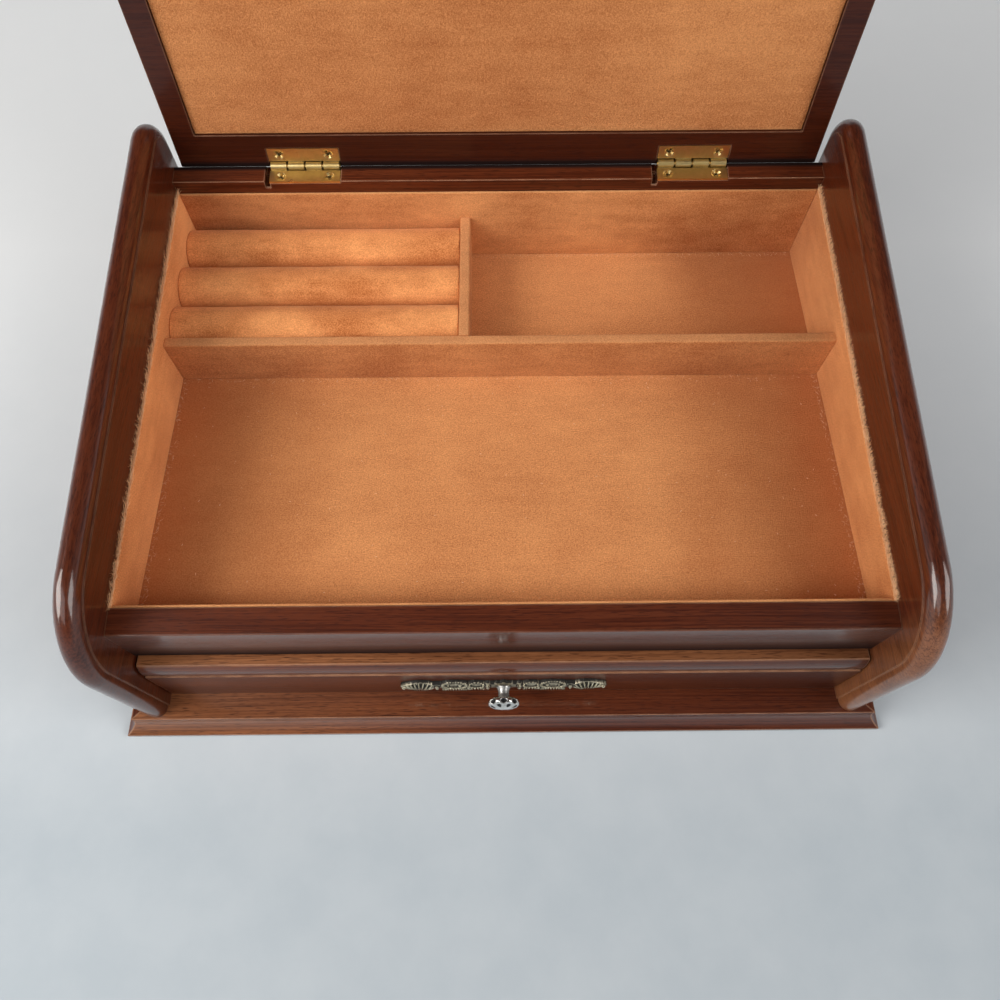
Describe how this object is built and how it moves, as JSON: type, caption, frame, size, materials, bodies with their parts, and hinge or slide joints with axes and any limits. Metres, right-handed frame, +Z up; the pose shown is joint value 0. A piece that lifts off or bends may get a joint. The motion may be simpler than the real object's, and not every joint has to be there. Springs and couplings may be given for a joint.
{
  "type": "valet box",
  "caption": "Wooden valet box on a moulded base: shaped side panels, a slanted hinged lid over a suede-lined tray with dividers and ring rolls, and a drawer with an ornate knob.",
  "frame": {"origin": "middle of the underside, on the felt", "axes": "+X to the right of the box, +Y to its back, +Z up; the drawer faces -Y"},
  "size_m": [0.3226, 0.2608, 0.3122],
  "materials": {
    "mahogany": "glossy lacquer, dark red-brown",
    "suede": "tan suede nap",
    "felt": "felt",
    "drawer_wood": "plain satin",
    "brass": "polished, a little tarnished",
    "antique_silver": "antique cast metal",
    "steel": "plain"
  },
  "bodies": {
    "case": {"base_front_strip": "mahogany", "base_rear_strip": "mahogany", "base_left_strip": "mahogany", "base_right_strip": "mahogany", "base_panel": "mahogany", "left_side_panel": "mahogany", "right_side_panel": "mahogany", "front_wall": "mahogany", "rear_wall": "mahogany", "tray_floor": "mahogany", "floor_lining": "suede", "left_lining": "suede", "right_lining": "suede", "rear_lining": "suede", "front_lining": "suede", "long_divider": "suede", "short_divider": "suede", "ring_roll_rear": "suede", "ring_roll_middle": "suede", "ring_roll_front": "suede", "base_felt": "felt", "left_hinge_box_leaf": "brass", "right_hinge_box_leaf": "brass", "left_hinge_pin": "brass", "right_hinge_pin": "brass", "box_leaf_screws": "brass"},
    "lid": {"lid_board": "mahogany", "lid_lining": "suede", "left_hinge_lid_leaf": "brass", "right_hinge_lid_leaf": "brass", "lid_leaf_screws": "brass"},
    "drawer": {"drawer_front": "mahogany", "drawer_left_side": "drawer_wood", "drawer_right_side": "drawer_wood", "drawer_back": "drawer_wood", "drawer_bottom": "drawer_wood", "drawer_lining": "suede", "drawer_backplate": "antique_silver", "drawer_knob": "antique_silver", "knob_screw": "steel"}
  },
  "joints": [
    {"name": "lid_hinge", "type": "hinge", "parent": "case", "child": "lid", "pos_m": [0, 0.1049, 0.106], "axis": [1, 0, 0], "range_deg": [0, 103.6]},
    {"name": "drawer_slide", "type": "slide", "parent": "case", "child": "drawer", "axis": [0, -1, 0], "range_m": [0, 0.12]}
  ]
}
